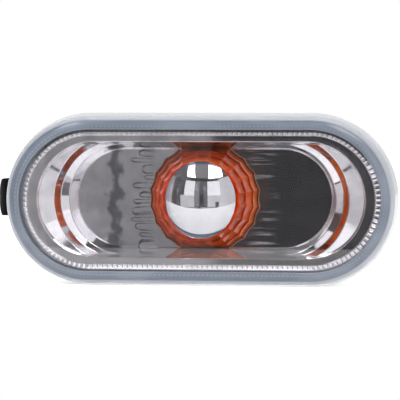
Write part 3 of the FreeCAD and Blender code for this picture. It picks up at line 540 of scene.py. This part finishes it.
@dataclass(frozen=True)
class Amber:
    """Transparent amber acrylic with painted light and shade in rings, deep red where it is thick and orange
    where light passes.

    The spans are in millimetres out from the filter's axis, and they wander a little.
    """

    name: str
    deep: str
    bright: str
    shade: str
    thick: str
    wall: str
    see_through: float
    rough: tuple[float, float]
    edge_mm: float
    band_mm: float = 1.5
    cloud_mm: float = 2.2
    wander_mm: float = 1.6
    glow_mm: tuple[float, float] = (8.0, 9.4)
    shade_mm: tuple[float, float] = (10.0, 11.2)
    foot_mm: tuple[float, float] = (9.9, 10.3)
    wave_mm: float = 1.8
    relief_mm: float = 0.03

    def painted_lit_walls(self, g: Graph, out: Socket) -> Socket:
        """Painted light on the walls of the tiers, most of all the lowest one, which the light from the
        trough passes through.

        Args:
            g: the material's nodes.
            out: distance from the filter's axis.

        Returns:
            A mask of the walls.
        """
        facing = g.add(Step.SIZE, g.add(Step.SPLIT, g.add(Step.NORMAL)).node.outputs["Y"])
        steep = g.add(Step.RAMP, facing, 0.25, 0.6, 0.65, 0)
        return g.add(Step.TIMES, steep, g.add(Step.RAMP, out, *self.foot_mm, 0.5, 1))

    def build(self) -> bpy.types.Material:
        """Make the material.

        Returns:
            The material.
        """
        g = Graph.surface(self.name)
        x, _, z = g.place_mm()
        cloud = g.patches(self.cloud_mm)
        out = g.length(x, z)
        place = g.add(Step.TIMES_PLUS, cloud, self.wander_mm, g.add(Step.MINUS, out, self.wander_mm / 2))
        wave = g.add(Step.SINE, g.add(Step.TIMES, place, 2 * math.pi / self.band_mm))
        tone = linear(self.deep)
        # The rings paint light and shade: orange where light passes, deep red where it is thick, a painted
        # shade on the outer ring, and painted light on the tier walls.
        for mask, colour in ((g.add(Step.RAMP, place, *self.glow_mm, 0, 1), self.bright),
                             (g.add(Step.RAMP, place, *self.shade_mm, 0, 0.8), self.shade),
                             (g.add(Step.RAMP, wave, -0.9, -0.1, 0.65, 0), self.thick),
                             (g.add(Step.RAMP, wave, 0.2, 0.9, 0, 0.7), self.bright),
                             (self.painted_lit_walls(g, out), self.wall)):
            tone = g.add(Step.BLEND, mask, tone, linear(colour))
        g.set(Base_Color=tone, IOR=ACRYLIC_IOR, Specular_IOR_Level=0.1, Transmission_Weight=self.see_through,
              Roughness=g.add(Step.RAMP, cloud, 0.35, 0.65, *self.rough))
        g.relief(g.patches(self.wave_mm, 1.0), self.relief_mm, self.edge_mm)
        return g.owner


@dataclass(frozen=True)
class Drawn:
    """Bright drawn or tinned metal with lengthwise marks."""

    name: str
    bright: str
    dull: str
    rough: tuple[float, float]
    mark_mm: float = 0.15
    relief_mm: float = 0.003

    def build(self) -> bpy.types.Material:
        """Make the material.

        Returns:
            The material.
        """
        g = Graph.surface(self.name)
        # Real die marks are far finer, and are drawn as coarse as they need to show.
        marks = g.patches(self.mark_mm, 2.0, (1, 0.05, 1))
        g.set(Metallic=1.0, Base_Color=g.add(Step.BLEND, marks, linear(self.bright), linear(self.dull)),
              Roughness=g.add(Step.RAMP, marks, 0.3, 0.7, *self.rough))
        g.relief(marks, self.relief_mm)
        return g.owner


FINISHES = {
    # Clear acrylic: a sharp view through the polished front, and a blue-grey satin band with a pale edge of
    # painted reflection.
    Slot.LENS: LensClear("clear_acrylic_moulded", tint="#FAF9FB", skirt="#828B9A", marks="#B8C0CC",
                         edge="#F2F4F7"),
    # Aluminium coated on plastic in a vacuum: a bright mirror, with dark lines where the plastic flowed last,
    # and a painted dark reflection along the top of the bead.
    Slot.REFLECTOR: MirrorTrough("vacuum_metallised_plastic", bright="#E8E7EA", dull="#D1D0D4",
                                 flow="#4A4B50", rough=(0.03, 0.07), edge_mm=0.35),
    # Dyed acrylic: painted light and shade in red and orange rings that change with its thickness, painted
    # light on the tier walls, and soft gloss on rounded flutes.
    Slot.AMBER: Amber("amber_acrylic_moulded", deep="#CE2E10", bright="#F2540E", shade="#B8340C",
                      thick="#921C0A", wall="#FF9048", see_through=0.25, rough=(0.03, 0.08), edge_mm=0.25),
    # The same coat on a smooth dome: a clean picture of the room.
    Slot.SHIELD: Metallised("metallised_shield_cap", bright="#D9DADC", dull="#D2D3D6", rough=(0.02, 0.04),
                            wave_mm=5.0, relief_mm=0.004),
    # Moulded ABS: an even blue-grey with a satin sheen.
    Slot.HOUSING: Moulded("blue_grey_moulded_plastic", dark="#6C7480", light="#7A828E", grain_mm=0.35,
                          rough=(0.38, 0.5), relief_mm=0.01),
    # Closed-cell foam: a dull, pitted near-black.
    Slot.GASKET: Moulded("closed_cell_foam", dark="#1C1C1D", light="#2C2C2D", grain_mm=0.6,
                         rough=(0.85, 0.97), relief_mm=0.12),
    # Moulded acetal: deep black with little shine.
    Slot.CLIP: Moulded("black_moulded_acetal", dark="#080808", light="#101011", grain_mm=0.3,
                       rough=(0.45, 0.6), relief_mm=0.008, shine=0.12),
    # Moulded nylon: black with a grained, half-matte sheen.
    Slot.HOLDER: Moulded("black_moulded_nylon", dark="#161617", light="#222224", grain_mm=0.3,
                         rough=(0.45, 0.6), relief_mm=0.012),
    # Moulded rubber: soft black without gloss.
    Slot.SEAL: Moulded("matte_rubber", dark="#1A1A1A", light="#262626", grain_mm=0.25, rough=(0.75, 0.9),
                       relief_mm=0.015),
    # Tinned brass strip: pale grey metal, drawn out in fine lines.
    Slot.CONTACT: Drawn("tinned_brass_strip", bright="#D6D4CE", dull="#B4B2AC", rough=(0.22, 0.4)),
    # Blown glass: clear, with a slightly wavy view through it.
    Slot.GLASS: Clear("blown_bulb_glass", tint="#F4F6F5", index=1.5, rough=(0.0, 0.02), wave_mm=4.0,
                      relief_mm=0.01),
    # Drawn wire: a thin grey line with a dull shine.
    Slot.WIRE: Drawn("drawn_wire", bright="#B8B6B0", dull="#8E8C88", rough=(0.25, 0.4)),
}

NODES = {
    "lens": Slot.LENS,
    "reflector": Slot.REFLECTOR,
    "amber_filter": Slot.AMBER,
    "bulb_shield": Slot.SHIELD,
    "housing": Slot.HOUSING,
    "gasket": Slot.GASKET,
    "spring_clip": Slot.CLIP,
    "bulb_holder": Slot.HOLDER,
    "holder_seal": Slot.SEAL,
    "contact_left": Slot.CONTACT,
    "contact_right": Slot.CONTACT,
    "bulb_glass": Slot.GLASS,
    "bulb_filament": Slot.WIRE,
    "bulb_lead_left": Slot.WIRE,
    "bulb_lead_right": Slot.WIRE,
}


@dataclass
class Body:
    """The CAD pieces, shown as they are with their finishes."""

    materials: dict[Slot, bpy.types.Material]

    def dress(self) -> None:
        """Give each CAD node its material."""
        for name, slot in NODES.items():
            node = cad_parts[name]
            node.data.materials.clear()
            node.data.materials.append(self.materials[slot])
            LOG.info("%s dressed as %s", name, self.materials[slot].name)


@dataclass
class LensShell:
    """The lens as one smooth swept shell, on the sizes of the CAD lens, in millimetres and degrees."""

    finish: bpy.types.Material
    straight: float = 2 * HALF_RUN_MM
    half: float = 17.6
    rise: float = 10.2
    dome: float = 200.0
    shoulder: float = 2.6
    wall: float = 2.0
    draft: float = 8.0
    rim_back: float = 1.5
    rim_front: float = 3.4
    skirt: float = 0.8
    seat: float = 3.02
    sharp: float = 35.0
    merge: float = 0.0001
    end_steps: int = 96
    dome_steps: int = 20
    shoulder_steps: int = 16
    inner_steps: int = 10

    @staticmethod
    def arc(middle: tuple, radius: float, first: float, last: float, count: int) -> list[tuple[float, float]]:
        """Points on an arc.

        Args:
            middle: its centre.
            radius: its radius.
            first: angle of the first point.
            last: angle of the last point.
            count: number of steps.

        Returns:
            The points, both ends among them.
        """
        turns = [first + (last - first) * i / count for i in range(count + 1)]
        return [(middle[0] + radius * math.cos(a), middle[1] + radius * math.sin(a)) for a in turns]

    def profile(self) -> list[tuple[float, float]]:
        """Half section of the lens, from the middle of the front round to the middle of the inside.

        Returns:
            Pairs of y and distance from the middle line.
        """
        lean = math.radians(self.draft)
        hub = self.dome - self.rise
        along = (-math.cos(lean), -math.sin(lean))
        inward = (math.sin(lean), -math.cos(lean))
        start = (self.shoulder * inward[0] - self.rim_front - hub, self.shoulder * inward[1] + self.half)
        slope = start[0] * along[0] + start[1] * along[1]
        rest = start[0] ** 2 + start[1] ** 2 - (self.dome - self.shoulder) ** 2
        step = math.sqrt(slope ** 2 - rest) - slope
        centre = (start[0] + step * along[0] + hub, start[1] + step * along[1])
        crown = math.atan2(centre[1], centre[0] - hub)
        flank = math.atan2(-inward[1], -inward[0])
        front = self.arc((hub, 0), self.dome, math.pi, crown, self.dome_steps)
        corner = self.arc(centre, self.shoulder, crown, flank, self.shoulder_steps)
        inner = self.arc(centre, self.shoulder - self.wall, flank, crown, self.inner_steps)
        back = self.arc((hub, 0), self.dome - self.wall, crown, math.pi, self.dome_steps)
        foot = inner[0][1] - (inner[0][0] + self.seat) * math.tan(lean)
        inset = self.half - self.skirt
        rim = [(-self.rim_front, self.half), (-self.rim_back, self.half), (-self.rim_back, inset),
               (-self.seat, inset), (-self.seat, foot)]
        return front + corner[1:] + rim + inner + back[1:]

    def build(self) -> bpy.types.Object:
        """Sweep the section round the outline.

        Returns:
            The lens, in place of the CAD lens.
        """
        path = []
        for side, first in ((1, -math.pi / 2), (-1, math.pi / 2)):
            for i in range(self.end_steps + 1):
                turn = first + math.pi * i / self.end_steps
                path.append((side * self.straight / 2, math.cos(turn), math.sin(turn)))
        bm = bmesh.new()
        rings = [[bm.verts.new(((x + out * c) * MM, y * MM, out * s * MM)) for x, c, s in path]
                 for y, out in self.profile()]
        for near, far in zip(rings, rings[1:]):
            for i in range(len(path)):
                j = (i + 1) % len(path)
                bm.faces.new((near[i], near[j], far[j], far[i]))
        bmesh.ops.remove_doubles(bm, verts=bm.verts, dist=self.merge * MM)
        bmesh.ops.recalc_face_normals(bm, faces=bm.faces)
        mesh = bpy.data.meshes.new("lens_shell")
        bm.to_mesh(mesh)
        bm.free()
        mesh.shade_smooth()
        mesh.set_sharp_from_angle(angle=math.radians(self.sharp))
        mesh.materials.append(self.finish)
        lens = bpy.data.objects.new("lens_shell", mesh)
        # A shadow through clear plastic would come out too dark on what stands behind it.
        lens.visible_shadow = False
        bpy.context.scene.collection.objects.link(lens)
        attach(lens, "root")
        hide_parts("lens")
        LOG.info("lens shell with %d faces", len(mesh.polygons))
        return lens


@dataclass(frozen=True)
class Card:
    """A curved card round the lamp that its mirrors reflect, by directions in degrees and reach in metres."""

    name: str
    left: float
    right: float
    low: float
    high: float
    reach: float
    glow: float
    spread: float = 0.0
    columns: int = 16
    rows: int = 12

    def build(self) -> bpy.types.Object:
        """Make the card.

        Returns:
            The stage object; only mirrors and clear pieces see it.
        """
        bm = bmesh.new()
        grid = []
        for i in range(self.columns + 1):
            line = []
            for j in range(self.rows + 1):
                turn = self.left + (self.right - self.left) * i / self.columns + self.spread * j / self.rows
                rise = self.low + (self.high - self.low) * j / self.rows
                line.append(bm.verts.new(toward(turn, rise) * self.reach))
            grid.append(line)
        for near, far in zip(grid, grid[1:]):
            for j in range(self.rows):
                bm.faces.new((near[j], far[j], far[j + 1], near[j + 1]))
        mesh = bpy.data.meshes.new(self.name)
        bm.to_mesh(mesh)
        bm.free()
        card = bpy.data.objects.new(self.name, mesh)
        bpy.context.scene.collection.objects.link(card)
        g = Graph.surface(f"{self.name}_glow")
        g.set(Base_Color=BLACK, Specular_IOR_Level=0.0, Emission_Color=WHITE, Emission_Strength=self.glow)
        mesh.materials.append(g.owner)
        card.visible_camera = False
        card.visible_diffuse = False
        card.visible_shadow = False
        return card


CARDS = (
    Card("room", -110, 110, -60, 88, 0.95, 0.16),
    Card("table_front_left", -50, -10, -28, -15, 0.93, 0.80),
    Card("table_front_right", -3, 50, -28, -15, 0.93, 0.80),
    Card("table_shade", 29, 36, -15, -5, 0.86, 0.18),
    Card("table_edge", -45, 45, -15, -12.5, 0.93, 0.04),
    Card("wall_left_of_camera", -17, -6, -13, 31, 0.90, 0.31),
    Card("wall_above_camera", -6, 4, 8, 31, 0.90, 0.15),
    Card("camera", -6, 4, -13, 8, 0.90, 0.055),
    Card("wall_right_of_camera", 4, 12, -13, 31, 0.90, 0.17),
    Card("lintel", -34, 28, 31, 37, 0.90, 0.06),
    Card("shelf_left", -69, -40, -12, 30, 0.90, 0.10),
    Card("wall_far_left", -105, -69, -18, 30, 0.88, 0.60),
    Card("window_left", -40, -17, 6, 31, 0.88, 1.35),
    Card("window_left_low", -48, -17, -14, 6, 0.88, 0.85),
    Card("window_right", 12, 40, 6, 31, 0.88, 1.5),
    Card("window_right_low", 12, 40, -14, 6, 0.88, 0.95),
    Card("wall_far_right", 40, 105, -18, 34, 0.88, 1.0),
    Card("ceiling", -34, 24, 37, 66, 0.88, 0.35),
    Card("overhead_left", -40, -18, 37, 62, 0.86, 5.0, -15),
    Card("overhead_right", 15, 52, 36, 64, 0.86, 5.0, 4),
)


@dataclass(frozen=True)
class SoftLight:
    """A soft square light that points at the lamp, in metres and watts."""

    name: str
    place: tuple[float, float, float]
    size: float
    power: float

    def build(self) -> None:
        """Add the light, which mirrors and clear pieces don't show."""
        data = bpy.data.lights.new(self.name, "AREA")
        data.size = self.size
        data.energy = self.power
        light = bpy.data.objects.new(self.name, data)
        light.location = self.place
        light.rotation_euler = (-Vector(self.place)).to_track_quat("-Z", "Y").to_euler()
        light.visible_glossy = False
        light.visible_transmission = False
        bpy.context.scene.collection.objects.link(light)


LIGHTS = (
    SoftLight("key", (-0.35, -0.45, 0.55), 0.35, 3.0),
    SoftLight("fill", (0.45, -0.40, 0.30), 0.35, 1.2),
    SoftLight("back", (0.10, 0.55, 0.50), 0.40, 1.4),
)


@dataclass
class Studio:
    """Floor, white surroundings, lights and camera, in metres and degrees."""

    azimuth: float = 6.5
    elevation: float = 2.7
    distance: float = 0.5
    focal_mm: float = 221.0
    sensor_mm: float = 36.0
    aim_depth: float = -2.5 * MM
    aim_right: float = -0.39 * MM
    aim_up: float = -0.15 * MM
    floor_level: float = -17.65 * MM
    floor_front: float = -58 * MM
    floor_reach: float = 0.9
    floor_glow: float = 0.5
    floor_patch_mm: float = 60.0
    soft_level: float = 0.45

    def build(self) -> None:
        """Set the whole stage up."""
        self.world()
        self.floor()
        for item in CARDS + LIGHTS:
            item.build()
        self.camera()

    def world(self) -> None:
        """White surroundings for the camera, mirrors and clear pieces, softer light on the rest."""
        world = bpy.data.worlds.new("white_studio")
        bpy.context.scene.world = world
        g = Graph(world, "Background")
        g.set(Color=WHITE, Strength=g.add(Step.RAMP, g.seen(), 0, 1, self.soft_level, 1.0))

    def floor(self) -> None:
        """A plain pale floor whose front edge lies close before the lamp."""
        mesh = bpy.data.meshes.new("floor")
        side, near, z = self.floor_reach, self.floor_front, self.floor_level
        corners = [(-side, near, z), (side, near, z), (side, side, z), (-side, side, z)]
        mesh.from_pydata(corners, [], [(0, 1, 2, 3)])
        floor = bpy.data.objects.new("floor", mesh)
        bpy.context.scene.collection.objects.link(floor)
        # White laminate: an even white that keeps a faint shadow.
        g = Graph.surface("white_table_top")
        cloud = g.add(Step.RAMP, g.patches(self.floor_patch_mm), 0.3, 0.7, 0, 1)
        g.set(Base_Color=g.add(Step.BLEND, cloud, linear("#FAFAFA"), linear("#FFFFFF")), Roughness=0.6,
              Specular_IOR_Level=0.0, Emission_Color=WHITE,
              Emission_Strength=g.add(Step.TIMES, g.seen(), self.floor_glow))
        mesh.materials.append(g.owner)

    def camera(self) -> None:
        """Look at the front of the lens from slightly right and above, as the photograph does."""
        way = toward(self.azimuth, self.elevation)
        turn = math.radians(self.azimuth)
        right = Vector((math.cos(turn), math.sin(turn), 0))
        up = right.cross(-way)
        aim = Vector((0, self.aim_depth, 0)) + right * self.aim_right + up * self.aim_up
        data = bpy.data.cameras.new("camera")
        data.sensor_width = self.sensor_mm
        data.lens = self.focal_mm
        data.clip_start = 0.01
        camera = bpy.data.objects.new("camera", data)
        camera.location = aim + way * self.distance
        camera.rotation_euler = (-way).to_track_quat("-Z", "Y").to_euler()
        bpy.context.scene.collection.objects.link(camera)
        bpy.context.scene.camera = camera


def main() -> None:
    """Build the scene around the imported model."""
    logging.basicConfig(level=logging.INFO)
    scene = bpy.context.scene
    scene.view_settings.view_transform = "Standard"
    scene.cycles.max_bounces = 24
    scene.cycles.glossy_bounces = 12
    scene.cycles.transmission_bounces = 16
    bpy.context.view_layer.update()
    materials = {slot: finish.build() for slot, finish in FINISHES.items()}
    Body(materials).dress()
    LensShell(materials[Slot.LENS]).build()
    Studio().build()


if __name__ == "__main__":
    main()
